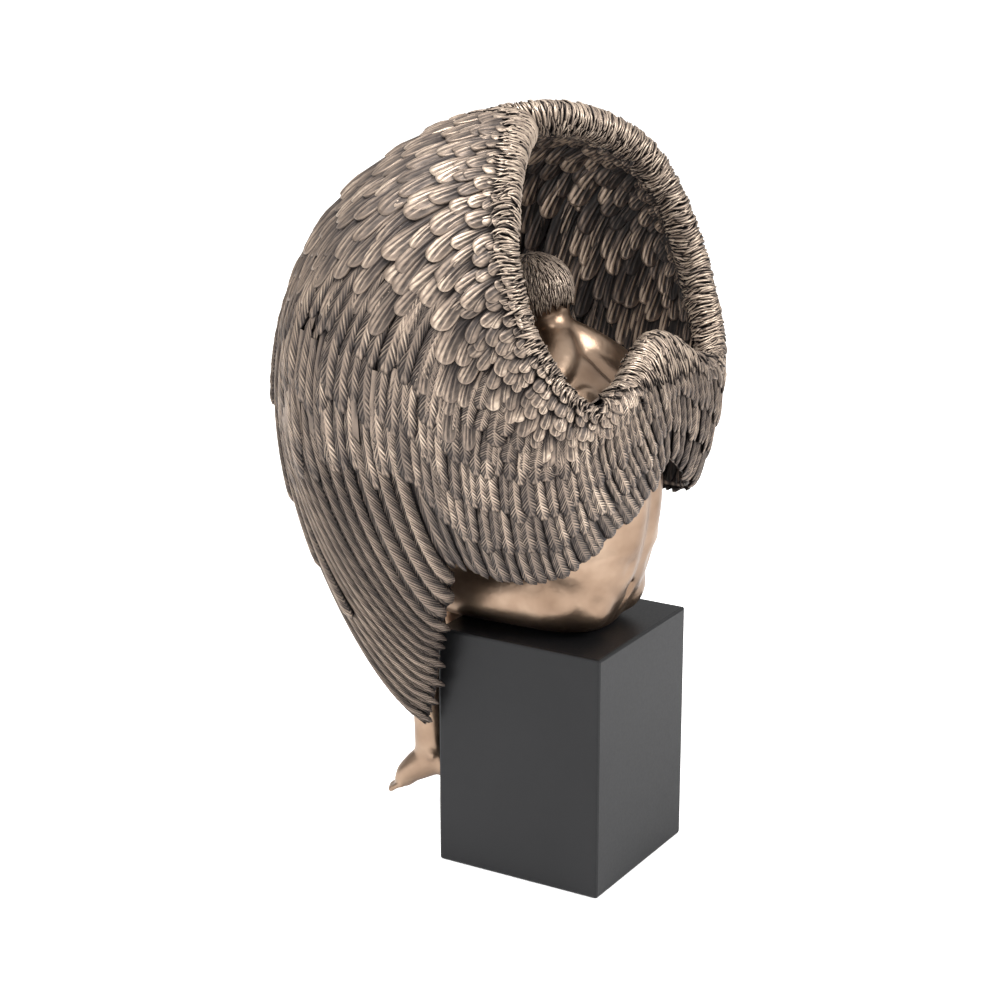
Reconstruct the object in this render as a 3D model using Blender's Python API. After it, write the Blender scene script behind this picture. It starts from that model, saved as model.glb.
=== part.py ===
"""A winged seated figure in cold-cast bronze on a black block plinth.

The figure faces -Y and its left side is +X. The origin is the middle of the plinth's underside.
The casting is laid out in parts, each 1/232 of its own height above the plinth, measured from
the middle of the seat. Only its left side is drawn, and the right side mirrors it.
"""

import math

import bmesh
import bpy
import numpy as np
from mathutils import Matrix, Vector

# Driving dimensions, in metres
PLINTH_SIDE = 0.0836
PLINTH_HEIGHT = 0.115
PLINTH_EDGE = 0.0012
ANGEL_HEIGHT = 0.232
SEAT_GAP = 0.0003
TIP_GAP = 0.0026
SHIN_GAP = 0.0125
TOE_CLEARANCE = 0.013

# One part of the casting's height, and places that follow the plinth, in those parts
PART = ANGEL_HEIGHT / 232
BESIDE = (PLINTH_SIDE / 2 + TIP_GAP) / PART
BEFORE = -(PLINTH_SIDE / 2 + SHIN_GAP) / PART
SOLE = (TOE_CLEARANCE - PLINTH_HEIGHT) / PART

# One line for each station from the back's middle to the leading primary, left side:
# middle of the rim, end of the feathers, how far the feathers belly out between them, and
# how much higher the right wing's feathers end
WING_STATIONS = (
    ((0, 44, 131), (0, 51, 84), (0, 3, 1), 0),
    ((30, 46, 117), (14, 51, 73), (7, 2, 1), 0),
    ((54, 43, 113), (33, 46, 60), (11, 0, 0), 2),
    ((71, 35, 125), (53, 31, 42), (13, -1, 0), 11),
    ((80, 22, 153), (62, 8, 38), (16, -7, 0), 12),
    ((77, 13, 179), (63, -14, 38), (22, -20, 0), 8),
    ((63, 5, 203), (BESIDE + 8, -30, 8), (36, -40, 0), 3),
    ((41, -4, 218), (BESIDE + 4, -35, -11), (44, -60, 2), 0),
    ((17, -15, 225), (BESIDE + 2, -38, -29), (42, -70, 2), 0),
    ((8, -42, 222), (BESIDE + 1, -44, -47), (24, -72, 0), 0),
)
BELLY_POWER = 1.35
BELLY_SKEW = 0.35

# The wings' thickness along the feathers: (share of the way from rim to tips, thickness)
WING_THICKNESS = ((0.0, 13.0), (0.12, 10.5), (0.35, 8.5), (0.7, 6.0), (1.0, 3.6))

# Carved feathers: how many lie side by side on one wing, and where each row's tips end
FEATHERS_ACROSS = 14
OUTER_ROW_ENDS = (0.09, 0.17, 0.26, 0.37, 0.5, 0.66, 1.0)
INNER_ROW_ENDS = (0.12, 0.38, 0.66, 1.0)
FEATHER_COLUMNS = 4
ROW_RELIEF = (1.5, 2.8)
FEATHER_CROWN = 1.5
TIP_ROUNDING = 0.24
MIDDLE_HEIGHT = 0.6
RIM_SEGMENTS = 3
SLOPE_STEP = 0.004

# The body: centre, half sizes and forward tilt in degrees of each rounded mass
BODY_MASSES = {
    "rump": ((16, 9, 23), (20, 22, 23), 0),
    "shoulder": ((36, 4, 107), (12.5, 12.5, 13), 0),
    "shoulder_blade": ((18, 24, 103), (13, 12, 17), 25),
    "chest": ((14, -8, 98), (17, 10, 12), 20),
    "wing_root": ((9, 41, 93), (16, 15, 14), 0),
    "head": ((0, -16, 146), (16.5, 20, 23), 32),
    "jaw": ((0, -22, 132), (11, 12, 12), 32),
    "nose": ((0, -37, 139), (2.6, 3.6, 6), 40),
    "ear": ((17, -13, 141), (2.6, 4, 6), 32),
    "knee": ((19, BEFORE - 15, 14), (13, 13, 13.5), 0),
    "hand": ((6, -74, 37), (7, 11, 6), -8),
    "thumb": ((7, -72, 43), (3, 7, 3), -20),
    "toes": ((10, BEFORE - 31, SOLE + 4), (8, 6.5, 3.4), 28),
}

# Tapered lengths: points along the middle with the half width and half depth there
BODY_LENGTHS = {
    "trunk": (
        ((0, 2, 6), 30, 23),
        ((0, 9, 30), 34, 29),
        ((0, 16, 52), 31, 28),
        ((0, 17, 74), 31, 27),
        ((0, 12, 96), 37, 24),
        ((0, 4, 112), 31, 17),
        ((0, -3, 122), 15, 12),
    ),
    "neck": (((0, 2, 114), 14, 13), ((0, -6, 128), 11.5, 12), ((0, -12, 142), 11, 12)),
    "trapezius": (((6, 2, 126), 8, 8), ((22, 8, 117), 10, 9), ((36, 6, 110), 10, 9)),
    "upper_arm": (((37, 3, 106), 11, 12), ((40, -9, 82), 10, 11), ((39, -24, 49), 7.5, 8.5)),
    "forearm": (((39, -24, 49), 8, 8.5), ((32, -39, 44), 8, 8), ((10, -66, 40), 5, 5)),
    "thigh": (((17, 2, 20), 20, 20), ((19, -36, 17), 17.5, 17), ((19, BEFORE - 13, 14), 13, 13)),
    "shin": (
        ((18, BEFORE - 16, 8), 12, 12),
        ((16, BEFORE - 12, -20), 11.5, 12),
        ((12, BEFORE - 12, -48), 7.5, 8),
        ((10, BEFORE - 13, SOLE + 28), 6, 6.5),
    ),
    "foot": (
        ((10, BEFORE - 5, SOLE + 20), 6, 7),
        ((10, BEFORE - 15, SOLE + 17), 6.5, 8),
        ((10, BEFORE - 26, SOLE + 9), 7.5, 5.5),
    ),
}
LOFT_SIDES = 20
LOFT_STEPS = 4
MASS_SUBDIVISIONS = 3
CLAY_GRAIN = 1.7
CLAY_RUB = 0.5
CLAY_RUBS = 4
BODY_SHARE_KEPT = 0.033

COLOURS = {
    "bronze": ((0.33, 0.24, 0.18), 0.38, 0.85),
    "black": ((0.045, 0.045, 0.048), 0.6, 0.0),
}


def finish_material(name):
    """A plain Principled material for one of the two finishes."""
    colour, roughness, metallic = COLOURS[name]
    material = bpy.data.materials.new(name)
    material.use_nodes = True
    shader = material.node_tree.nodes["Principled BSDF"]
    shader.inputs["Base Color"].default_value = (*colour, 1.0)
    shader.inputs["Roughness"].default_value = roughness
    shader.inputs["Metallic"].default_value = metallic
    return material


def add_object(name, mesh, material=None):
    obj = bpy.data.objects.new(name, mesh)
    bpy.context.scene.collection.objects.link(obj)
    if material:
        obj.data.materials.append(material)
    return obj


def hide_guide(obj):
    """Marks a cutter or a shape that a modifier uses, which is no piece of its own."""
    obj.hide_render = True
    obj.display_type = "WIRE"
    return obj


def block(name, half_x, half_y, low, high):
    """A closed box standing on z = low."""
    mesh = bpy.data.meshes.new(name)
    form = bmesh.new()
    bmesh.ops.create_cube(form, size=1.0)
    size = Vector((2 * half_x, 2 * half_y, high - low))
    bmesh.ops.scale(form, vec=size, verts=form.verts)
    bmesh.ops.translate(form, vec=Vector((0, 0, (low + high) / 2)), verts=form.verts)
    form.to_mesh(mesh)
    form.free()
    return add_object(name, mesh)


def build_plinth(material):
    half = PLINTH_SIDE / 2
    plinth = block("plinth", half, half, 0.0, PLINTH_HEIGHT)
    plinth.data.materials.append(material)
    edge = plinth.modifiers.new("eased edges", "BEVEL")
    edge.width = PLINTH_EDGE
    edge.segments = 2
    edge.limit_method = "ANGLE"
    return plinth


def smooth_row(values, share, before=None):
    """A smooth curve through evenly spaced values, read at each share of its length.

    Before is the value that the curve comes from, ahead of its first one.
    """
    values = np.array(values, float)
    last = len(values) - 1
    place = np.clip(share, 0, 1) * last
    index = np.minimum(place.astype(int), last - 1)
    step = (place - index).reshape(place.shape + (1,) * (values.ndim - 1))
    first = 2 * values[0] - values[1] if before is None else np.array(before, float)
    ends = np.concatenate([[first], values, [2 * values[-1] - values[-2]]])
    a, b, c, d = (ends[index + k] for k in range(4))
    cubic = (-a + 3 * b - 3 * c + d) * step**3
    return 0.5 * (2 * b + (c - a) * step + (2 * a - 5 * b + 4 * c - d) * step**2 + cubic)


def wing_sheet(across, along):
    """Middle of the wings at across, -1 to 1 from right to left, and along, 0 at the rim to 1."""
    across, along = np.broadcast_arrays(np.asarray(across, float), np.asarray(along, float))
    rims, tips, bellies, lifts = zip(*WING_STATIONS)
    rim = smooth_row(rims, abs(across), before=(-rims[1][0], *rims[1][1:]))
    tip = smooth_row(tips, abs(across))
    belly = smooth_row(bellies, abs(across), before=(-bellies[1][0], *bellies[1][1:]))
    tip[..., 2] += np.where(across < 0, smooth_row(lifts, abs(across)), 0.0)
    turn = (math.pi * along)[..., None]
    fullness = np.sin(turn) ** BELLY_POWER * (1 + BELLY_SKEW * np.cos(turn))
    points = (rim + tip) / 2 + np.cos(turn) * (rim - tip) / 2 + fullness * belly
    points[..., 0] *= np.where(across < 0, -1.0, 1.0)
    return points


def wing_directions(across, along):
    """Unit vectors of the wings' sheet: outward, and down the feathers."""
    step = SLOPE_STEP
    along = np.clip(along, step, 1 - step)
    across = np.clip(across, -1 + step, 1 - step)
    side = wing_sheet(across + step, along) - wing_sheet(across - step, along)
    down = wing_sheet(across, along + step) - wing_sheet(across, along - step)
    out = np.cross(side, down)
    out /= np.linalg.norm(out, axis=-1, keepdims=True)
    down /= np.linalg.norm(down, axis=-1, keepdims=True)
    return out, down


def feather_rows(row_ends, across):
    """Rows of points over the feathers of one face: where along the sheet, and how high.

    Each row of feathers has a foot under the row before, a middle and a scalloped tip. The
    feathers of one row lie over the gaps between those of the next, and the last rows of the
    two faces lie alike.
    """
    columns = len(across)
    place = np.arange(columns)
    rows = []
    foot = np.full(columns, row_ends[0])
    last = len(row_ends) - 2
    for number, (start, end) in enumerate(zip(row_ends, row_ends[1:])):
        shift = FEATHER_COLUMNS // 2 if (last - number) % 2 else 0
        over = ((place + shift) % FEATHER_COLUMNS) / FEATHER_COLUMNS
        crown = np.sin(math.pi * over)
        share = number / last
        relief = ROW_RELIEF[0] + (ROW_RELIEF[1] - ROW_RELIEF[0]) * share
        tip = end - TIP_ROUNDING * (end - start) * (1 - crown)
        height = relief / 2 + FEATHER_CROWN * (crown - 0.5)
        rows.append((foot, np.full(columns, -relief / 2)))
        rows.append(((foot + tip) / 2, height * MIDDLE_HEIGHT))
        rows.append((tip, height))
        foot = tip
    return rows


def build_wings():
    """Both wings as one closed shell: the carved outside, the rolled rim and the inside."""
    columns = 2 * FEATHERS_ACROSS * FEATHER_COLUMNS + 1
    across = np.linspace(-1, 1, columns)
    points = []

    def add_row(along, height, face):
        along = np.broadcast_to(along, across.shape)
        out, _ = wing_directions(across, along)
        half = np.interp(along, *zip(*WING_THICKNESS)) / 2
        points.append(wing_sheet(across, along) + out * (face * (half + height))[:, None])

    for along, height in reversed(feather_rows(INNER_ROW_ENDS, across)):
        add_row(along, height, -1)
    rim = wing_sheet(across, 0.0)
    out, down = wing_directions(across, np.zeros(columns))
    radius = WING_THICKNESS[0][1] / 2
    for number in range(RIM_SEGMENTS + 1):
        turn = math.pi * number / RIM_SEGMENTS
        roll = -math.cos(turn) * out - math.sin(turn) * down
        points.append(rim + radius * roll)
    for along, height in feather_rows(OUTER_ROW_ENDS, across):
        add_row(along, height, 1)

    form = bmesh.new()
    grid = [[form.verts.new(p * PART) for p in row] for row in points]
    rows = len(grid)
    for r in range(rows - 1):
        for c in range(columns - 1):
            form.faces.new((grid[r][c], grid[r + 1][c], grid[r + 1][c + 1], grid[r][c + 1]))
    for c in range(columns - 1):
        form.faces.new((grid[0][c], grid[0][c + 1], grid[-1][c + 1], grid[-1][c]))
    half_rows = rows // 2
    for c in (0, columns - 1):
        for r in range(half_rows - (rows % 2 == 0)):
            ring = (grid[r][c], grid[r + 1][c], grid[rows - 2 - r][c], grid[rows - 1 - r][c])
            form.faces.new(tuple(dict.fromkeys(ring)))
    bmesh.ops.triangulate(form, faces=form.faces)
    bmesh.ops.recalc_face_normals(form, faces=form.faces)
    mesh = bpy.data.meshes.new("wings")
    form.to_mesh(mesh)
    form.free()
    return add_object("wings", mesh)


def sides_of(points):
    """The places to draw something at: once in the middle, or once on each side."""
    return (1,) if all(p[0] == 0 for p in points) else (1, -1)


def add_mass(form, centre, radii, tilt):
    """A rounded mass, leaning forward by tilt degrees."""
    for side in sides_of([centre]):
        place = Matrix.Translation(Vector((side * centre[0], centre[1], centre[2])) * PART)
        lean = Matrix.Rotation(math.radians(tilt), 4, "X")
        size = Matrix.Diagonal((*[r * PART for r in radii], 1))
        bmesh.ops.create_icosphere(
            form, subdivisions=MASS_SUBDIVISIONS, radius=1.0, matrix=place @ lean @ size
        )


def add_length(form, stations):
    """A closed tapered length through its stations, smoothly curved between them."""
    steps = LOFT_STEPS * (len(stations) - 1) + 1
    share = np.linspace(0, 1, steps)
    line = smooth_row([s[0] for s in stations], share)
    width, depth = smooth_row([s[1:] for s in stations], share).T
    for side in sides_of([s[0] for s in stations]):
        rings = []
        for i, (x, y, z) in enumerate(line):
            before, after = line[max(i - 1, 0)], line[min(i + 1, steps - 1)]
            along = Vector(after - before).normalized()
            sideways = Vector((1, 0, 0))
            sideways = (sideways - along * sideways.dot(along)).normalized()
            back = along.cross(sideways)
            ring = []
            for k in range(LOFT_SIDES):
                turn = 2 * math.pi * k / LOFT_SIDES
                offset = sideways * (width[i] * math.cos(turn)) + back * (depth[i] * math.sin(turn))
                point = Vector((x, y, z)) + offset
                ring.append(form.verts.new(Vector((side * point.x, point.y, point.z)) * PART))
            rings.append(ring)
        for lower, upper in zip(rings, rings[1:]):
            for k in range(LOFT_SIDES):
                n = (k + 1) % LOFT_SIDES
                form.faces.new((lower[k], lower[n], upper[n], upper[k]))
        form.faces.new(rings[0][::-1])
        form.faces.new(rings[-1])
    bmesh.ops.recalc_face_normals(form, faces=form.faces)


def build_body():
    """The seated figure, its masses and lengths melted into one skin as clay would be."""
    form = bmesh.new()
    for centre, radii, tilt in BODY_MASSES.values():
        add_mass(form, centre, radii, tilt)
    for stations in BODY_LENGTHS.values():
        add_length(form, stations)
    mesh = bpy.data.meshes.new("body")
    form.to_mesh(mesh)
    form.free()
    body = add_object("angel", mesh)
    clay = body.modifiers.new("clay", "REMESH")
    clay.mode = "VOXEL"
    clay.voxel_size = CLAY_GRAIN * PART
    rubbed = body.modifiers.new("rubbed", "SMOOTH")
    rubbed.factor = CLAY_RUB
    rubbed.iterations = CLAY_RUBS
    fewer = body.modifiers.new("fewer faces", "DECIMATE")
    fewer.ratio = BODY_SHARE_KEPT
    return body


def build_angel(material):
    """Body and wings as one casting, cut to sit on and hang in front of the plinth."""
    seat = Vector((0, 0, PLINTH_HEIGHT))
    wings = hide_guide(build_wings())
    wings.location = seat
    angel = build_body()
    angel.location = seat
    angel.data.materials.append(material)
    join = angel.modifiers.new("wings", "BOOLEAN")
    join.operation = "UNION"
    join.object = wings
    half = PLINTH_SIDE / 2 + SEAT_GAP
    bed = hide_guide(block("seat_cut", half, half, -PLINTH_HEIGHT, PLINTH_HEIGHT + SEAT_GAP))
    cut = angel.modifiers.new("seat", "BOOLEAN")
    cut.operation = "DIFFERENCE"
    cut.object = bed
    return angel


def main():
    for obj in list(bpy.data.objects):
        bpy.data.objects.remove(obj)
    build_plinth(finish_material("black"))
    build_angel(finish_material("bronze"))


main()
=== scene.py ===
import math
import time

import bpy
import numpy as np
from mathutils import Matrix, Vector


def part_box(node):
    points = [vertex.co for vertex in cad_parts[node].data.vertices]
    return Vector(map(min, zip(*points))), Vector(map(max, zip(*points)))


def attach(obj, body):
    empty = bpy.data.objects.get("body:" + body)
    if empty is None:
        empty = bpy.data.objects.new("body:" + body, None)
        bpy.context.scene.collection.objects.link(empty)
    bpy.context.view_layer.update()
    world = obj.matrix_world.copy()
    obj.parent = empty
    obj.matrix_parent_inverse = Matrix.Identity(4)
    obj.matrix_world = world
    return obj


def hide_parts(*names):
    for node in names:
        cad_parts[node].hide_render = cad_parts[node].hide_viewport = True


# A cold-cast bronze statuette: a seated figure wrapped in two feathered wings, on a black block.
# The figure faces -Y and its left side is +X. The casting is drawn in millimetres, measured
# from the middle of the block's top, and made into metres as each mesh is written.

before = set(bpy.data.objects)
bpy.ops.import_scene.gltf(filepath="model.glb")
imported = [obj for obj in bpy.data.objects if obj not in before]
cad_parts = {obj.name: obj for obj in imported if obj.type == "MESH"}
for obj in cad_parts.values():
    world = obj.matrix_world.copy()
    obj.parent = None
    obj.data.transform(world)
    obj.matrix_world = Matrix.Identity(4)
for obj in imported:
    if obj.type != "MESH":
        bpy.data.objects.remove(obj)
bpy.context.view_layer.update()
startTime = time.time()
mm = 0.001
plinthLow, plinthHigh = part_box("plinth")
seatHeight = plinthHigh.z
plinthHalf = plinthHigh.x / mm
draw = np.random.default_rng(11)


def report(text):
    print(f"{time.time() - startTime:6.1f} s  {text}")


def deselectAll():
    for obj in bpy.context.selected_objects:
        obj.select_set(False)


# Wings: the same sheet as the solids', one line a station from the back's middle to the leading
# primary: middle of the rim, end of the feathers, belly between them, right wing's tip lift
tipBeside = plinthHalf + 2.6
wings = {
    "stations": (
        ((0, 44, 131), (0, 51, 84), (0, 3, 1), 0),
        ((30, 46, 117), (14, 51, 73), (7, 2, 1), 0),
        ((54, 43, 113), (33, 46, 60), (11, 0, 0), 2),
        ((71, 35, 125), (53, 31, 42), (13, -1, 0), 11),
        ((80, 22, 153), (62, 8, 38), (16, -7, 0), 12),
        ((77, 13, 179), (63, -14, 38), (22, -20, 0), 8),
        ((63, 5, 203), (tipBeside + 8, -30, 8), (36, -40, 0), 3),
        ((41, -4, 218), (tipBeside + 4, -35, -11), (44, -60, 2), 0),
        ((17, -15, 225), (tipBeside + 2, -38, -29), (42, -70, 2), 0),
        ((8, -42, 222), (tipBeside + 1, -44, -47), (24, -72, 0), 0),
    ),
    "bellyPower": 1.35,
    "bellySkew": 0.35,
    "thickness": ((0.0, 13.0), (0.12, 10.5), (0.35, 8.5), (0.7, 6.0), (1.0, 3.6)),
    "edgeShare": 0.035,  # share of the wing over which its front edge rounds off
    "edgeThin": 0.97,  # how much of the thickness is gone at that edge
    "skinSink": 1.1,  # the bare skin lies this far under the feathers' footing
    "notchPlace": 0.555,  # where the short secondaries end and the long primaries start
    "notchDepth": 15.0,
    "notchReach": 0.035,
}


def smoothRow(values, share, before=None):
    values = np.array(values, float)
    last = len(values) - 1
    place = np.clip(share, 0, 1) * last
    index = np.minimum(place.astype(int), last - 1)
    step = (place - index).reshape(place.shape + (1,) * (values.ndim - 1))
    first = 2 * values[0] - values[1] if before is None else np.array(before, float)
    ends = np.concatenate([[first], values, [2 * values[-1] - values[-2]]])
    a, b, c, d = (ends[index + k] for k in range(4))
    cubic = (-a + 3 * b - 3 * c + d) * step**3
    return 0.5 * (2 * b + (c - a) * step + (2 * a - 5 * b + 4 * c - d) * step**2 + cubic)


def sheetPoints(across, along):
    across, along = np.broadcast_arrays(np.asarray(across, float), np.asarray(along, float))
    rims, tips, bellies, lifts = zip(*wings["stations"])
    rim = smoothRow(rims, abs(across), before=(-rims[1][0], *rims[1][1:]))
    tip = smoothRow(tips, abs(across))
    belly = smoothRow(bellies, abs(across), before=(-bellies[1][0], *bellies[1][1:]))
    tip[..., 2] += np.where(across < 0, smoothRow(lifts, abs(across)), 0.0)
    turn = (math.pi * along)[..., None]
    fullness = np.sin(turn) ** wings["bellyPower"] * (1 + wings["bellySkew"] * np.cos(turn))
    points = (rim + tip) / 2 + np.cos(turn) * (rim - tip) / 2 + fullness * belly
    points[..., 0] *= np.where(across < 0, -1.0, 1.0)
    return points


def smoothStep(low, high, value):
    share = np.clip((value - low) / (high - low), 0, 1)
    return share * share * (3 - 2 * share)


class WingSkin:
    # The wings' whole surface as a table: across is -1 to 1 from right to left, and around is
    # -1 at the inner tips, 0 on the rim's crest and 1 at the outer tips, in equal shares of length

    def __init__(self, columns, rows):
        self.across = np.linspace(-1, 1, columns)
        self.around = np.linspace(-1, 1, 2 * rows + 1)
        step = 0.004
        along = np.linspace(0, 1, 161)
        grid, down = np.meshgrid(self.across, along, indexing="ij")
        middle = sheetPoints(grid, down)
        near = np.clip(down, step, 1 - step)
        inside = np.clip(grid, -1 + step, 1 - step)
        side = sheetPoints(inside + step, near) - sheetPoints(inside - step, near)
        fall = sheetPoints(inside, near + step) - sheetPoints(inside, near - step)
        out = np.cross(side, fall)
        out /= np.linalg.norm(out, axis=-1, keepdims=True)
        fall /= np.linalg.norm(fall, axis=-1, keepdims=True)
        edge = np.clip((abs(grid) - 1 + wings["edgeShare"]) / wings["edgeShare"], 0, 1)
        half = np.interp(down, *zip(*wings["thickness"])) / 2 * np.sqrt(1 - wings["edgeThin"] * edge**2)
        rollRows = 15
        turn = np.linspace(0, math.pi, rollRows + 2)[1:-1, None]
        rollOut = -np.cos(turn) * out[:, :1] - np.sin(turn) * fall[:, :1]
        roll = middle[:, :1] + half[:, :1, None] * rollOut
        inner = middle - out * half[..., None]
        outer = middle + out * half[..., None]
        points = np.concatenate([inner[:, ::-1], roll, outer], axis=1)
        normals = np.concatenate([-out[:, ::-1], rollOut, out], axis=1)
        length = np.linalg.norm(np.diff(points, axis=1), axis=-1)
        arc = np.concatenate([np.zeros((columns, 1)), np.cumsum(length, axis=1)], axis=1)
        crest = len(along) + rollRows // 2
        arc -= arc[:, crest : crest + 1]
        self.innerLength = -arc[:, 0]
        self.outerLength = arc[:, -1]
        share = np.where(arc < 0, arc / self.innerLength[:, None], arc / self.outerLength[:, None])
        table = np.empty((columns, len(self.around), 6))
        for c in range(columns):
            for k in range(3):
                table[c, :, k] = np.interp(self.around, share[c], points[c, :, k])
                table[c, :, 3 + k] = np.interp(self.around, share[c], normals[c, :, k])
        table[..., 3:] /= np.linalg.norm(table[..., 3:], axis=-1, keepdims=True)
        self.points = table[..., :3]
        sideways = np.gradient(self.points, self.across, axis=0)
        lengthways = np.gradient(self.points, self.around, axis=1)
        self.table = np.concatenate([table, sideways, lengthways], axis=-1)

    def read(self, across, around):
        # points, normals, slope across and slope around at any places, straight on past the ends
        place = (np.asarray(across) + 1) / 2 * (len(self.across) - 1)
        level = (np.asarray(around) + 1) / 2 * (len(self.around) - 1)
        i = np.clip(place.astype(int), 0, len(self.across) - 2)
        j = np.clip(level.astype(int), 0, len(self.around) - 2)
        s = (place - i)[..., None]
        t = (level - j)[..., None]
        near = self.table[i, j] * (1 - s) + self.table[i + 1, j] * s
        far = self.table[i, j + 1] * (1 - s) + self.table[i + 1, j + 1] * s
        found = near * (1 - t) + far * t
        return found[..., :3], found[..., 3:6], found[..., 6:9], found[..., 9:12]

    def length(self, across, face):
        lengths = self.outerLength if face > 0 else self.innerLength
        return np.interp(across, self.across, lengths)


skin = WingSkin(321, 200)
report("wing surface worked out")


def featherEnd(across):
    # How far short of the sheet's end the feathers stop, at the notch behind the primaries
    gap = (abs(across) - wings["notchPlace"]) / wings["notchReach"]
    return wings["notchDepth"] * np.exp(-gap * gap)


def newMesh(name, points, faces):
    # One mesh from rows of points in millimetres over the seat, and lists of faces of one size
    mesh = bpy.data.meshes.new(name)
    points = np.asarray(points, np.float64).reshape(-1, 3) * mm
    points[:, 2] += seatHeight
    mesh.vertices.add(len(points))
    mesh.vertices.foreach_set("co", points.astype(np.float32).ravel())
    sizes = np.concatenate([np.full(len(f), f.shape[1]) for f in faces])
    corners = np.concatenate([f.ravel() for f in faces])
    mesh.loops.add(len(corners))
    mesh.loops.foreach_set("vertex_index", corners.astype(np.int32))
    mesh.polygons.add(len(sizes))
    starts = np.concatenate([[0], np.cumsum(sizes)[:-1]])
    mesh.polygons.foreach_set("loop_start", starts.astype(np.int32))
    mesh.polygons.foreach_set("use_smooth", np.full(len(sizes), True))
    mesh.update(calc_edges=True)
    mesh.validate()
    obj = bpy.data.objects.new(name, mesh)
    bpy.context.scene.collection.objects.link(obj)
    return obj


def setAttribute(obj, name, values):
    layer = obj.data.attributes.new(name, "FLOAT", "POINT")
    layer.data.foreach_set("value", np.asarray(values, np.float32).ravel())


def drawnTube(rows, ring):
    # The faces of a plain tube drawn out row by row from one small outline, as point numbers that
    # count round each row in turn. Feathers, tufts and limbs are all shaped from such a tube.
    deselectAll()
    bpy.ops.mesh.primitive_circle_add(
        vertices=ring, radius=0.3, fill_type="NGON", enter_editmode=True, rotation=(math.pi / 2, 0, 0)
    )
    for _ in range(rows - 1):
        bpy.ops.mesh.extrude_region_move(TRANSFORM_OT_translate={"value": (0, 1, 0)})
    bpy.ops.object.mode_set(mode="OBJECT")
    tube = bpy.context.active_object
    corners = np.array([tube.matrix_world @ v.co for v in tube.data.vertices])
    turn = np.arctan2(corners[:, 0], -corners[:, 2]) % (2 * math.pi)
    order = np.round(corners[:, 1]).astype(int) * ring
    order += np.round(turn / (2 * math.pi) * ring).astype(int) % ring
    faces = []
    for face in tube.data.polygons:
        numbers = [int(order[v]) for v in face.vertices]
        first = numbers.index(min(numbers))
        faces.append(numbers[first:] + numbers[:first])
    faces.sort()  # one order in every run, because the extrusion's own order changes
    bpy.data.objects.remove(tube)
    caps = [face for face in faces if {v // ring for v in face} in ({0}, {rows - 1})]
    return np.array([face for face in faces if face not in caps]), np.array(caps)


# Kinds of carved feather. Ribs is how many strokes lie across the tongue, bare is the share of the
# length that the row before covers, full is where the tip begins to round, base is the width at
# the root, fan is how much the strokes spread from the shaft, and crown is a share of the width.
# Cut, shaft and thick are heights in millimetres.
featherKinds = {
    "scale": {"ribs": 6, "rows": 6, "bare": 0.35, "full": 0.68, "base": 0.8, "fan": 0.6,
              "crown": 0.13, "cut": 0.19, "shaft": 0.15, "thick": 1.9},
    "covert": {"ribs": 9, "rows": 7, "bare": 0.35, "full": 0.78, "base": 0.7, "fan": 0.9,
               "crown": 0.12, "cut": 0.24, "shaft": 0.35, "thick": 2.2},
}
# Kinds of flight feather. Barbs is how many strokes leave each side of the shaft, and lead is how
# far ahead of its root a barb ends, in shares of the length.
flightKinds = {
    "long": {"barbs": 13, "bare": 0.3, "full": 0.84, "base": 0.72, "lead": 0.24, "crown": 0.15,
             "cut": 0.3, "shaft": 0.5, "thick": 2.2},
    "flight": {"barbs": 46, "bare": 0.25, "full": 0.95, "base": 0.85, "lead": 0.06, "crown": 0.17,
               "cut": 0.5, "shaft": 0.8, "thick": 2.6},
    "inner_flight": {"barbs": 34, "bare": 0.1, "full": 0.95, "base": 0.85, "lead": 0.08, "crown": 0.18,
                     "cut": 0.4, "shaft": 0.5, "thick": 2.2},
}


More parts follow.
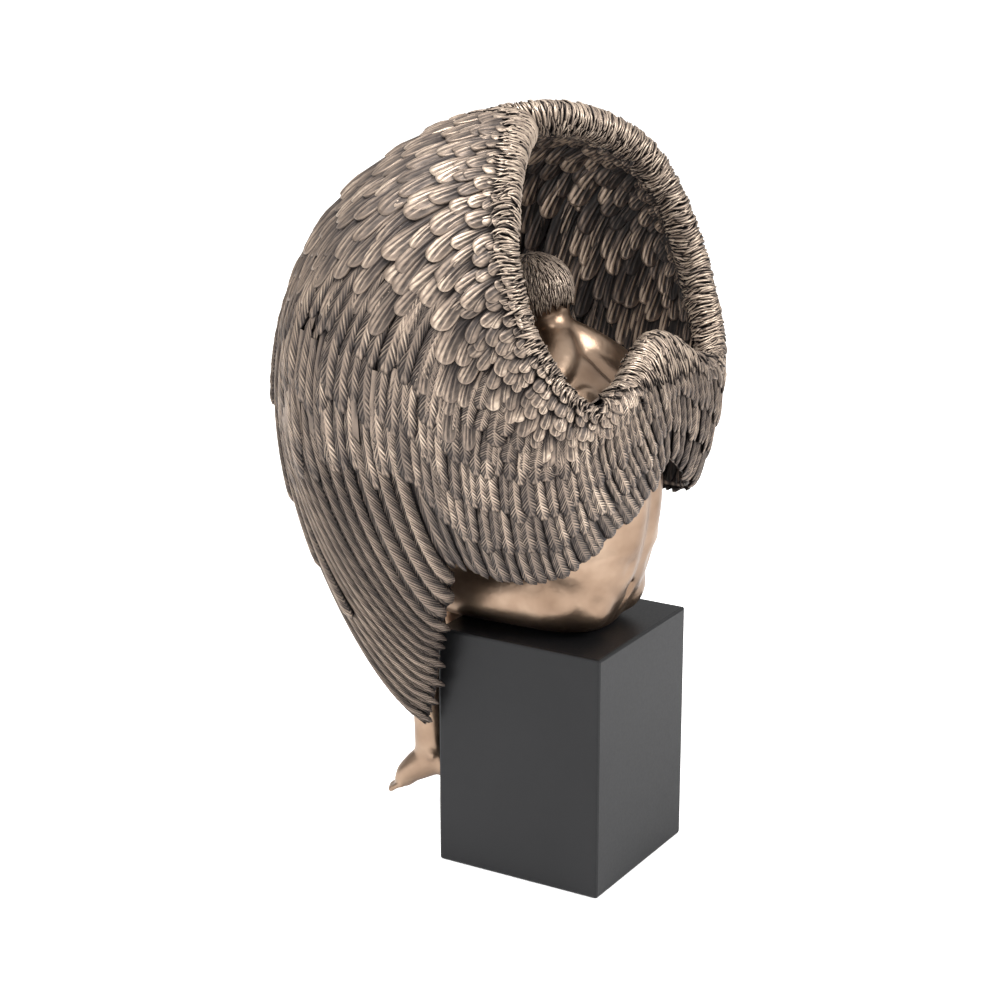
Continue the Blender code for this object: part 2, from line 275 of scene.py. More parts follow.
def featherShape(kind):
    # A tongue in its own units: place along 0 to 1, place across -1 to 1, and how high. Its strokes
    # are the columns of points, which leave the shaft and run out to the rim of the round tip.
    style = featherKinds[kind]
    columns = 2 * style["ribs"] + 1
    footing = 0.86  # the underside is this share of the top's width
    roundness = 2.2  # 2 is a half circle at the tip, and more is squarer
    across = np.concatenate([[-footing], np.linspace(-1, 1, columns), [footing]])
    top = np.concatenate([[0], np.ones(columns), [0]])
    away = abs(across)
    step = np.linspace(0, 1, style["rows"] + 1)
    place = np.concatenate([[0], style["bare"] + (1 - style["bare"]) * (1 - (1 - step) ** 1.4), [1.0]])
    rows = len(place)
    reach = style["full"] + (1 - style["full"]) * (1 - away**roundness) ** (1 / roundness)
    along = place[:, None] * reach
    along[-1] -= 0.012
    width = style["base"] + (1 - style["base"]) * smoothStep(0, style["full"], place)
    fan = 1 + style["fan"] * (1 - place)
    side = np.sign(across) * away ** fan[:, None] * width[:, None]
    number = np.arange(columns + 2) - 1 - style["ribs"]
    rib = np.where(number % 2 == 0, 1.0, -1.0) * (away < 0.99) * top
    rib = rib * (0.75 + 0.45 * np.sin(2.4 * number + 1.9 * np.arange(rows)[:, None]))
    fade = smoothStep(1.0, 0.9, place)[:, None]
    centre = (number == 0) * 1.0
    under = np.zeros((rows, 1))
    under[-1] = 1.0  # the last row is the lip under the tip's rim
    edge = -0.55 * (away > 0.99) - 0.14 * ((away > 0.8) & (away < 0.99))
    fall = (0.45 + 0.55 * smoothStep(1.05, 0.75, place))[:, None]
    lip = 0.2 * (place == 1)[:, None]
    height = {
        "width": style["crown"] * (1 - away**2.6) * fall * top,
        "stroke": style["cut"] * rib * fade + edge * top * (1 - under) - lip * top,
        "shaft": style["shaft"] * centre * smoothStep(1.0, 0.7, place)[:, None],
        "thick": -style["thick"] * np.maximum(1 - top, under),
    }
    # Paleness: the strokes' ridges, the shaft, the tip and the rims are pale from the dry brush, and the
    # grooves dark with stain. The footing where the row before covers it, the underside and the lip under
    # the tip are darker as painted shade.
    shown = smoothStep(style["bare"] - 0.05, style["bare"] + 0.4, place)[:, None]
    bright = 0.42 + 0.22 * rib * fade + 0.12 * centre + 0.12 * smoothStep(0.6, 0.95, place)[:, None]
    bright = bright + 0.16 * (away > 0.99) * top + 0.16 * (place == 1)[:, None]
    bright = bright * (0.4 + 0.6 * shown) * (0.2 + 0.8 * top) * (1 - 0.6 * under)
    sides, caps = drawnTube(rows, columns + 2)
    return {"along": along, "side": side, "height": height, "bright": bright, "sides": sides, "caps": caps}


def flightShape(kind):
    # A long flight feather. Each row of points is a barb: it leaves the shaft and runs ahead to the
    # edge, and fans out at the tip.
    style = flightKinds[kind]
    across = np.array([-0.9, -1.0, -0.62, -0.2, 0.0, 0.2, 0.62, 1.0, 0.9])
    top = np.array([0, 1, 1, 1, 1, 1, 1, 1, 0])
    roundness = 1.9
    reach = np.linspace(0, 1, 801)
    fromTip = np.clip((reach - style["full"]) / (1 - style["full"]), 0, 1)
    edge = (1 - fromTip**roundness) ** (1 / roundness)
    edge = edge * (style["base"] + (1 - style["base"]) * smoothStep(0, style["full"], reach))
    walk = np.concatenate([[0], np.cumsum(np.hypot(np.diff(edge) * 0.04, np.diff(reach)))])
    number = np.concatenate([np.linspace(0, style["bare"], 3)[:-1],
                             np.linspace(style["bare"], 1, 2 * style["barbs"])])
    rows = len(number)
    start = np.interp(style["lead"], reach, walk)
    endReach = np.interp(start + (walk[-1] - start) * number, walk, reach)
    endReach[0] = 0.0
    width = np.maximum(np.interp(endReach, reach, edge), 0.02)
    root = number * (0.97 - 0.3 * style["lead"])
    away = abs(across)[None, :]
    along = root[:, None] + (endReach - root)[:, None] * away**1.2
    ridge = np.zeros(rows)
    ridge[2:-1] = np.where(np.arange(rows - 3) % 2 == 0, 1.0, -1.0)
    ridge = ridge * (0.75 + 0.3 * np.sin(0.7 * np.arange(rows)) + 0.3 * np.sin(2.3 * np.arange(rows)))
    fade = smoothStep(1.0, 0.97, number)
    cut = smoothStep(0.02, 0.3, away)
    side = across[None, :] * width[:, None] * (1 + 0.04 * ridge[:, None] * (away > 0.8))
    crown = style["crown"] * np.sqrt(np.clip(1 - (away * 0.97) ** 2.2, 0, 1))
    tipDown = smoothStep(1.02, 0.95, along)
    height = {
        "width": crown * np.sqrt(width)[:, None] * top * tipDown,
        "stroke": style["cut"] * (ridge * fade)[:, None] * cut * top - 0.4 * (away > 0.95) * top,
        "shaft": style["shaft"] * (across == 0) * smoothStep(1.0, 0.9, along),
        "thick": -style["thick"] * (1 - top)[None, :] * np.ones((rows, 1)),
    }
    # Paleness: the barbs' ridges, the shaft and the tip are pale from the dry brush and the grooves dark
    # with stain, the outer edges a little darker; the underside is darker as painted shade.
    bright = 0.36 + 0.42 * (ridge * fade)[:, None] * cut + 0.3 * (across == 0)
    bright = bright + 0.2 * smoothStep(0.9, 1.0, along) - 0.14 * (away == 1.0)
    bright = bright * (0.2 + 0.8 * top)
    sides, caps = drawnTube(rows, len(across))
    return {"along": along, "side": side, "height": height, "bright": bright, "sides": sides, "caps": caps}


def tuftShape():
    # One wavy lock of the fluff along the rim: a tapered sliver with a ridge along its top
    width = np.array([0.35, 0.85, 1.0, 0.9, 0.6, 0.12])[:, None]
    # Paleness: the ridge along the top is pale from the dry brush; the sides, the underside and the root are
    # darker, painted shade under and between the locks.
    bright = np.array([0.15, 0.95, 0.15, 0.1]) * np.array([0.5, 0.85, 1.0, 1.0, 1.0, 0.9])[:, None]
    top = np.array([0, 1, 0, -1])
    rows, ring = len(width), len(top)
    flat = np.zeros((rows, ring))
    along = np.linspace(0, 1, rows)[:, None] + flat
    side = np.array([-1, 0, 1, 0]) * width
    height = {"width": 0.5 * width * (top > 0), "stroke": flat, "shaft": flat,
              "thick": flat - 1.6 * (top < 0)}
    sides, caps = drawnTube(rows, ring)
    return {"along": along, "side": side, "height": height, "bright": bright, "sides": sides, "caps": caps}


featherShapes = {kind: featherShape(kind) for kind in featherKinds}
featherShapes.update({kind: flightShape(kind) for kind in flightKinds})
featherShapes["tuft"] = tuftShape()
report("feathers modelled: " + ", ".join(f"{k} {len(s['sides'])} faces" for k, s in featherShapes.items()))


usualWidth = 8.0  # the feather's width at which its strokes have the heights that its kind gives


def plantFeathers(kind, base, tip, width, lift, roll, bend, tone, shareAcross=None):
    # Lays copies of one kind of feather on the wings' surface. Base and tip are places on the
    # surface, and the other values are one for each feather. A flight feather is as wide as its
    # share of the wing across. Returns points, faces and brightness.
    shape = featherShapes[kind]
    count = len(width)
    along = shape["along"][None]
    flow = (tip - base)[:, None, None, :]
    middle = base[:, None, None, :] + flow * along[..., None]
    _, _, sideways, lengthways = skin.read(middle[..., 0], middle[..., 1])
    e = (sideways**2).sum(-1)
    f = (sideways * lengthways).sum(-1)
    g = (lengthways**2).sum(-1)
    du = -(f * flow[..., 0] + g * flow[..., 1])
    dw = e * flow[..., 0] + f * flow[..., 1]
    size = np.sqrt(e * du**2 + 2 * f * du * dw + g * dw**2)
    half = (width / 2)[:, None, None]
    if shareAcross is not None:
        half = np.sqrt(e) * shareAcross / 2
    offset = shape["side"][None] * half + bend[:, None, None] * 4 * along * (1 - along)
    u = middle[..., 0] + np.clip(du / size * offset, -0.1, 0.1)
    w = middle[..., 1] + np.clip(dw / size * offset, -0.3, 0.3)
    points, normals, _, _ = skin.read(u, w)
    normals = normals / np.linalg.norm(normals, axis=-1, keepdims=True)
    high = shape["height"]
    fine = np.clip(width / usualWidth, 0.6, 1.1)[:, None, None]
    height = high["width"][None] * width[:, None, None] + (high["stroke"] + high["shaft"])[None] * fine
    height = height + high["thick"][None] * np.clip(width / usualWidth, 0.5, 1)[:, None, None]
    rise = lift[:, 0, None, None] + (lift[:, 1] - lift[:, 0])[:, None, None] * along**1.2
    height = height + rise + roll[:, None, None] * offset
    points = points + normals * height[..., None]
    starts = (np.arange(count) * along.size)[:, None, None]
    faces = [(shape["sides"][None] + starts).reshape(-1, 4),
             (shape["caps"][None] + starts).reshape(-1, shape["caps"].shape[1])]
    bright = np.clip(shape["bright"][None] * tone[:, None, None], 0, 1)
    return points.reshape(-1, 3), faces, bright.ravel()


def facesOut(points, faces):
    # Turns the faces round where the feathers came out inside out
    quads = faces[0]
    a, b, c, d = (points[quads[:, k]] for k in range(4))
    volume = np.einsum("ij,ij->i", a, np.cross(b, c)).sum() + np.einsum("ij,ij->i", a, np.cross(c, d)).sum()
    return faces if volume > 0 else [f[:, ::-1] for f in faces]


def plumage(name, batches):
    # One piece from several batches of feathers
    points, faces, bright = [], [], []
    start = 0
    for some, lists, light in batches:
        lists = facesOut(some, lists)
        points.append(some)
        bright.append(light)
        faces += [f + start for f in lists]
        start += len(some)
    obj = newMesh(name, np.concatenate(points), faces)
    # Each point's paleness: the dry brush's wear and stain, with painted light and painted shade.
    setAttribute(obj, "rubbed", np.concatenate(bright))
    return obj


def rowPlaces(around, low, high, spacing, shift):
    # Places across the wings along one row. Around and spacing are functions of across, and
    # spacing is in millimetres.
    across = np.linspace(low, high, 600)
    points, _, _, _ = skin.read(across, around(across))
    steps = np.linalg.norm(np.diff(points, axis=0), axis=1)
    middle = (across[1:] + across[:-1]) / 2
    walk = np.concatenate([[0], np.cumsum(steps / spacing(middle))])
    count = max(1, int(round(walk[-1])))
    return np.interp((np.arange(count) + 0.5 * shift) / count * walk[-1], walk, across)


def vary(count, size):
    return draw.uniform(-size, size, count)


def pairs(first, second):
    return np.stack(np.broadcast_arrays(first, second), axis=-1)


def even(value):
    # A function of across that is the same everywhere, as rowPlaces takes
    return lambda across: value + 0 * across


def aroundAt(across, distance):
    # The place around that lies a distance in millimetres from the rim's crest, under 0 inside
    return np.where(distance < 0, distance / skin.length(across, -1), distance / skin.length(across, 1))


wingReach = 0.985  # how far across the feathers go


def halfAcross(side, reach=wingReach):
    # From the back's middle to a wing's front edge: side is 1 for the left wing, -1 for the right
    return (0.0, reach) if side > 0 else (-reach, 0.0)


# Rows of feathers over the outside, in millimetres. Each row of tips runs from its distance from
# the rim over the secondaries to its distance over the primaries, and so does the width. The
# long rows are measured up from the wing's end instead, at places across.
outerRows = {
    "lowTips": (12, 16, 20.2, 24.8, 29.6, 35, 41, 48, 56, 65, 75, 86, 97, 108, 119, 130, 141, 152),
    "highTips": (14, 19, 25.5, 34, 45, 58, 72, 87, 102, 117, 132, 147, 162, 177, 192, 207, 222, 237),
    "lowWidth": (5.2, 5.8, 6.2, 6.4, 6.6, 6.8, 7.0, 7.2, 7.4, 7.4),
    "highWidth": (6.0, 7.0, 8.2, 9.4, 10.4, 10.8, 11.0, 10.8, 10.4, 10.0),
    "turn": (0.4, 0.64),  # across, where the secondaries' values turn into the primaries'
    "longPlaces": (0, 0.2, 0.4, 0.5, 0.58, 0.66, 0.8, 1),
    "longEnds": ((42, 48, 60, 72, 112, 150, 180, 190), (29, 33, 42, 52, 86, 120, 148, 156),
                 (15, 17, 21, 27, 60, 90, 116, 122)),
    "longWidth": ((0, 0.45, 0.6, 1), (5.8, 6.2, 7.8, 8.0)),
    "longLength": ((0, 0.45, 0.6, 1), (28, 36, 58, 62)),
    "longScatter": ((0, 0.5, 0.62, 1), (2.2, 2.6, 7, 8)),
    "flightLength": ((0, 0.3, 0.45, 0.52, 0.58, 0.7, 0.85, 1), (30, 36, 46, 60, 110, 160, 190, 200)),
    "scaleStep": 8,  # rows closer than this have scales, and the others coverts
    "barbedReach": 0.46,  # the coverts this near the back's middle have barbs
    "spacing": 0.86,  # from feather to feather, as a share of their width
    "longSpacing": 0.8,
    "lengthOverStep": 2.3,
    "missing": 0.05,  # share of the feathers that are left out, so that those below show
    "placeVaries": 0.22,  # as a share of the width
    "scatter": 0.32,  # as a share of the way to the next row
    "lean": 0.24,
    "lengthVaries": 0.1,
    "widthVaries": 0.22,
    "rollVaries": 0.16,
    "bendVaries": 0.2,
    "toneVaries": 0.2,
    # The paleness by distance from the rim is painted light: the feathers near the rim, at the top of the
    # wings, are made paler as if lit from above.
    "rubbed": ((20, 60, 130, 240), (1.0, 0.95, 0.86, 0.86)),  # how pale, by distance from the rim
    "rimGap": 5.5,  # no feather starts closer to the crest
}


def outerBatch(kind, across, tipFromRim, length, width, options):
    # Feathers on the outside whose tips lie tipFromRim from the crest
    count = len(across)
    total = skin.length(across, 1)
    length = length * (1 + vary(count, outerRows["lengthVaries"]))
    tipAt = tipFromRim + vary(count, 1.0) * options["scatter"]
    _, _, sideways, _ = skin.read(across, tipFromRim / total)
    perMillimetre = 1 / np.linalg.norm(sideways, axis=-1)
    lean = vary(count, 1.0) * options["lean"] * perMillimetre
    tip = pairs(across + lean, tipAt / total)
    base = pairs(across - lean * 0.3, np.maximum(tipAt - length, outerRows["rimGap"]) / total)
    lift = pairs(options["low"], options["high"] + vary(count, options["uneven"]))
    width = width * (1 + vary(count, outerRows["widthVaries"]))
    roll = vary(count, outerRows["rollVaries"])
    bend = vary(count, outerRows["bendVaries"]) * width
    # Paler near the rim as painted light from above, with a random tone on top.
    tone = np.interp(tipAt, *outerRows["rubbed"]) + vary(count, outerRows["toneVaries"])
    return plantFeathers(kind, base, tip, width, lift, roll, bend, tone)


def blendAcross(across, lowValue, highValue):
    # From the value over the secondaries to the one over the primaries
    return lowValue + (highValue - lowValue) * smoothStep(*outerRows["turn"], abs(across))


def dressSide(side):
    # The outside of one wing: rows of scales and coverts down from the rim, then the long rows
    batches = []
    low, high = halfAcross(side)
    ends = outerRows["longEnds"][0]
    lowTips, highTips = outerRows["lowTips"], outerRows["highTips"]
    for number in range(len(lowTips) - 1):
        def tipLine(u):
            return blendAcross(u, lowTips[number], highTips[number])

        last = min(number, len(outerRows["lowWidth"]) - 1)
        widths = outerRows["lowWidth"][last], outerRows["highWidth"][last]
        across = rowPlaces(lambda u: tipLine(u) / skin.length(u, 1), low, high,
                           lambda u: outerRows["spacing"] * blendAcross(u, *widths), number % 2)
        across = across[draw.uniform(0, 1, len(across)) > outerRows["missing"]]
        step = blendAcross(across, lowTips[number + 1] - lowTips[number],
                           highTips[number + 1] - highTips[number])
        limit = skin.length(across, 1) - np.interp(abs(across), outerRows["longPlaces"], ends)
        keep = tipLine(across) < limit - 0.4 * step
        across, step = across[keep], step[keep]
        _, _, sideways, _ = skin.read(across, tipLine(across) / skin.length(across, 1))
        width = blendAcross(across, *widths)
        moved = vary(len(across), outerRows["placeVaries"]) * width
        across = across + moved / np.linalg.norm(sideways, axis=-1)
        close = step < outerRows["scaleStep"]
        barbed = abs(across) < outerRows["barbedReach"]
        for kind, chosen in (("scale", close), ("covert", ~close & ~barbed), ("long", ~close & barbed)):
            if chosen.sum():
                gap = step[chosen]
                options = {"scatter": outerRows["scatter"] * gap, "lean": outerRows["lean"] * gap,
                           "low": -1.7, "high": 1.5, "uneven": 0.8}
                length = outerRows["lengthOverStep"] * gap + 1
                batches.append(outerBatch(kind, across[chosen], tipLine(across[chosen]), length,
                                          width[chosen], options))
    for ends in outerRows["longEnds"]:
        def fromRim(u):
            return skin.length(u, 1) - np.interp(abs(u), outerRows["longPlaces"], ends)

        def apart(u):
            return outerRows["longSpacing"] * np.interp(abs(u), *outerRows["longWidth"])

        across = rowPlaces(lambda u: fromRim(u) / skin.length(u, 1), low, high, apart, 0.5)
        length, width, scatter = (np.interp(abs(across), *outerRows[name])
                                  for name in ("longLength", "longWidth", "longScatter"))
        options = {"scatter": scatter, "lean": 1.2, "low": -1.6, "high": 1.2, "uneven": 0.6}
        batches.append(outerBatch("long", across, fromRim(across), length, width, options))
    return batches


# The last layer: the secondaries above the hem, the long primaries that fan down beside the block,
# and shorter ones that lie over the front edge and stop so far above the wing's end
flightRows = {
    "secondaries": {"from": 0.012, "to": 0.575, "around": 0.97, "spacing": 5.2, "width": 6.2,
                    "widthVaries": 0.22, "scatter": 2.2, "notchShare": 0.4, "tone": 0.78},
    "primaries": {"from": 0.59, "to": 0.98, "number": 14, "overlap": 1.12, "scatter": 2.0, "tone": 0.92},
    "leading": {"places": (0.985, 0.96, 0.94, 0.915), "stops": (165, 118, 84, 56), "length": 75,
                "width": 7.5},
}


def flightBatch(side):
    # Secondaries side by side, then the long primaries, then the shorter ones at the front edge
    row = flightRows["secondaries"]
    across = side * rowPlaces(even(row["around"]), row["from"], row["to"], even(row["spacing"]), 0.5)
    count = len(across)
    total = skin.length(across, 1)
    tipAt = total - featherEnd(across) * row["notchShare"] + vary(count, row["scatter"])
    length = np.interp(abs(across), *outerRows["flightLength"])
    base = pairs(across, (tipAt - length) / total)
    tip = pairs(across + vary(count, 0.006), tipAt / total)
    lift = pairs(-1.6, 0.1 + vary(count, 0.5))
    width = row["width"] * (1 + vary(count, row["widthVaries"]))
    batches = [plantFeathers("long", base, tip, width, lift, 0.1 * side + vary(count, 0.1),
                             vary(count, 0.6), row["tone"] + vary(count, 0.15))]
    row = flightRows["primaries"]
    count = row["number"]
    across = side * np.linspace(row["from"], row["to"], count)
    total = skin.length(across, 1)
    tipAt = total - featherEnd(across) + vary(count, row["scatter"])
    length = np.interp(abs(across), *outerRows["flightLength"])
    base = pairs(across, (tipAt - length) / total)
    tip = pairs(across, tipAt / total)
    lift = pairs(-0.9, 0.3 + vary(count, 0.3))
    share = (row["to"] - row["from"]) / (count - 1) * row["overlap"]
    batches.append(plantFeathers("flight", base, tip, np.full(count, usualWidth), lift,
                                 np.full(count, 0.2 * side), vary(count, 0.6),
                                 row["tone"] + vary(count, 0.12), share))
    row = flightRows["leading"]
    across = side * np.array(row["places"])
    count = len(across)
    total = skin.length(across, 1)
    tipAt = total - np.array(row["stops"])
    base = pairs(across, (tipAt - row["length"]) / total)
    tip = pairs(across, tipAt / total)
    lift = pairs(np.zeros(count), 3.2)
    batches.append(plantFeathers("inner_flight", base, tip, np.full(count, row["width"]), lift,
                                 np.full(count, 0.15 * side), np.zeros(count), np.ones(count)))
    return batches


# Rows on the inside: how far their tips lie from the rim, their feathers' width and length
innerRows = {
    "rows": ((13, 7, 18), (21, 8, 22), (31, 9, 28), (43, 10, 34), (57, 11, 38), (73, 11, 42), (90, 11, 46),
             (110, 11, 50)),
    "stops": ((0, 0.5, 0.6, 1), (22, 34, 60, 70)),  # how far above the wing's end they stop, by across
    "spacing": 0.82,
    "scatter": 3.2,
    "lean": 3.0,
    "rimGap": 4,
    "lastAround": -0.97,
    "lastTop": (0.25, 60),  # the last layer starts this share of the way down, or this far down
    "lastSpacing": 7.4,
    "lastShort": (0.012, 0.525),
    "lastLong": (0.575, 0.975, 12),
    "lastOverlap": 1.1,
    "lastWidth": 9.0,
}


def innerBatches(side):
    # The inside: fewer and larger feathers that hang down from the rim, then the last long ones
    batches = []
    low, high = halfAcross(side)
    for number, (tipLine, width, length) in enumerate(innerRows["rows"]):
        across = rowPlaces(lambda u: -tipLine / skin.length(u, -1), low, high,
                           even(innerRows["spacing"] * width), number % 2)
        total = skin.length(across, -1)
        across = across[tipLine < total - np.interp(abs(across), *innerRows["stops"])]
        if len(across) == 0:
            break
        count = len(across)
        total = skin.length(across, -1)
        _, _, sideways, _ = skin.read(across, -tipLine / total)
        perMillimetre = 1 / np.linalg.norm(sideways, axis=-1)
        tipAt = tipLine + vary(count, innerRows["scatter"])
        lean = vary(count, innerRows["lean"]) * perMillimetre
        tip = pairs(across + lean, -tipAt / total)
        base = pairs(across, -np.maximum(tipAt - length, innerRows["rimGap"]) / total)
        lift = pairs(-1.8, 1.6 + vary(count, 0.8))
        batches.append(plantFeathers("covert", base, tip, width * (1 + vary(count, 0.15)), lift,
                                     vary(count, 0.16), vary(count, 1.4), 1.0 + vary(count, 0.35)))
    low, high = innerRows["lastShort"]
    shortOnes = rowPlaces(even(innerRows["lastAround"]), low, high, even(innerRows["lastSpacing"]), 0.5)
    across = side * np.concatenate([shortOnes, np.linspace(*innerRows["lastLong"])])
    count = len(across)
    total = skin.length(across, -1)
    short = abs(across) <= high
    tipAt = total - featherEnd(across) * ~short - 1.5
    topShare, topMost = innerRows["lastTop"]
    length = total - np.minimum(topShare * total, topMost)
    tip = pairs(across, -tipAt / total)
    base = pairs(across, -(tipAt - length) / total)
    lift = pairs(-1.2, 0.2 + vary(count, 0.2))
    first, last, number = innerRows["lastLong"]
    longShare = (last - first) / (number - 1) * innerRows["lastOverlap"]
    for kind, chosen, share in (("long", short, None), ("inner_flight", ~short, longShare)):
        some = int(chosen.sum())
        batches.append(plantFeathers(kind, base[chosen], tip[chosen], np.full(some, innerRows["lastWidth"]),
                                     lift[chosen], np.full(some, -0.12 * side), vary(some, 0.5),
                                     0.9 + vary(some, 0.15), share))
    return batches


rimFluff = {
    "places": (-14, -10.5, -7, -3.5, 0, 3.5, 7, 10),  # rows of locks, by distance from the crest
    "combed": ((14, 0.13), (18, 0.1), (22, 0.08), (26, 0.05)),  # place and reach, behind the neck
    "reach": 0.99,
    "length": 10.0,
    "combedLonger": 1.3,
    "combedLift": 1.4,
    "outerLift": 1.1,  # the rows outside the crest lie on the scales' roots
    "width": 1.9,
    "spacing": 1.6,
    "wave": (0.22, 7, 0.8),  # height, length and shift from row to row
    "curl": (1.3, 11, 1.3),
}


def fluffWave(count, number, shape, uneven):
    # A soft wave along one row of locks, which are a spacing apart
    high, long, shift = shape
    walk = np.cumsum(np.full(count, rimFluff["spacing"]))
    return high * np.sin(walk / long + shift * number) + vary(count, uneven)


def fluffBatches(side):
    # Wavy locks combed over the rim's roll, in staggered rows
    batches = []
    low, high = halfAcross(side, rimFluff["reach"])
    rows = [(place, 1.0) for place in rimFluff["places"]] + list(rimFluff["combed"])
    for number, (place, reach) in enumerate(rows):
        combed = reach < 1
        across = rowPlaces(lambda u: aroundAt(u, place), max(low, -reach), min(high, reach),
                           even(rimFluff["spacing"]), 0.5 * (number % 2))
        count = len(across)
        longer = rimFluff["combedLonger"] if combed else 1
        length = longer * rimFluff["length"] * (1 + vary(count, 0.25))
        middle = place + vary(count, 2.0)
        wave = fluffWave(count, number, rimFluff["wave"], 0.12)
        _, _, sideways, _ = skin.read(across, aroundAt(across, place))
        lean = wave * length / np.linalg.norm(sideways, axis=-1)
        base = pairs(across - lean / 2, aroundAt(across, middle - length / 2))
        tip = pairs(across + lean / 2, aroundAt(across, middle + length / 2))
        raised = rimFluff["combedLift"] if combed else rimFluff["outerLift"] * (place > 3)
        lift = pairs(raised - 0.6, 0.8 + raised + vary(count, 0.8))
        curl = fluffWave(count, number, rimFluff["curl"], 0.7)
        batches.append(plantFeathers("tuft", base, tip, rimFluff["width"] * (1 + vary(count, 0.3)), lift,
                                     np.zeros(count), curl, 0.95 + vary(count, 0.25)))
    return batches


bareWing = {
    "columns": 181,
    "shorter": 2.5,  # the skin stops this far short of the last feathers' tips
    "hemRows": 5,
    "hemRoll": 0.42,  # how far the rolled lower edge hangs down, as a share of the thickness there
    # the skin's near-black tone is stain and painted shade in the gaps under the feathers
    "dark": 0.12,
    "lock": 0.6,
}


def bareSkin():
    # The wings' bare skin under the feathers, closed at the tips and round the front edges
    across = np.linspace(-1, 1, bareWing["columns"])
    outerHalf = np.linspace(0.12, 1, 40)
    around = np.concatenate([-outerHalf[::-1], np.linspace(-0.11, 0.11, 21), outerHalf])
    grid, level = np.meshgrid(across, around, indexing="ij")
    total = np.where(level < 0, skin.length(grid, -1), skin.length(grid, 1))
    short = (featherEnd(grid) + bareWing["shorter"]) / total
    level = level * (1 - short * smoothStep(0.4, 1.0, abs(level)))
    points, normals, _, _ = skin.read(grid, level)
    points = points - normals * wings["skinSink"]
    columns, rows = grid.shape
    index = np.arange(columns * rows).reshape(columns, rows)
    quads = [np.stack([index[:-1, :-1], index[:-1, 1:], index[1:, 1:], index[1:, :-1]], -1).reshape(-1, 4)]
    # The lower edge is rolled, with a fine lock to every other column
    outer, inside = points[:, -1], points[:, 0]
    fallLine = points[:, -1] - points[:, -4]
    fallLine /= np.linalg.norm(fallLine, axis=1, keepdims=True)
    depth = np.linalg.norm(outer - inside, axis=1, keepdims=True)
    hem = []
    for share in np.linspace(0, 1, bareWing["hemRows"] + 2)[1:-1]:
        hang = depth * bareWing["hemRoll"] * math.sin(math.pi * share)
        hem.append(outer + (inside - outer) * share + fallLine * hang)
    strip = [index[:, -1]]
    strip += [columns * rows + columns * step + np.arange(columns) for step in range(len(hem))]
    strip.append(index[:, 0])
    for near, far in zip(strip[:-1], strip[1:]):
        quads.append(np.stack([near[:-1], far[:-1], far[1:], near[1:]], -1))
    half = rows // 2
    for column, turned in ((0, True), (-1, False)):
        first, last = index[column, :half], index[column, ::-1][:half]
        wall = np.stack([first[:-1], last[:-1], last[1:], first[1:]], -1)
        quads.append(wall[:, ::-1] if turned else wall)
    faces = [np.concatenate(quads)]
    ends = np.array([[index[0, half - 1], index[0, half], index[0, half + 1]],
                     [index[-1, half + 1], index[-1, half], index[-1, half - 1]]])
    flat = np.concatenate([points.reshape(-1, 3)] + hem)
    turned = facesOut(flat, faces)
    obj = newMesh("wing_skin", flat, [turned[0], ends])
    # Near black all over: stain and painted shade in the gaps between the feathers; the hem's locks are
    # striped.
    tone = np.full(len(flat), bareWing["dark"])
    stripe = np.where(np.arange(columns) % 2, bareWing["dark"], bareWing["lock"])
    tone[columns * rows:] = np.tile(stripe, len(hem))
    setAttribute(obj, "rubbed", tone)
    return obj


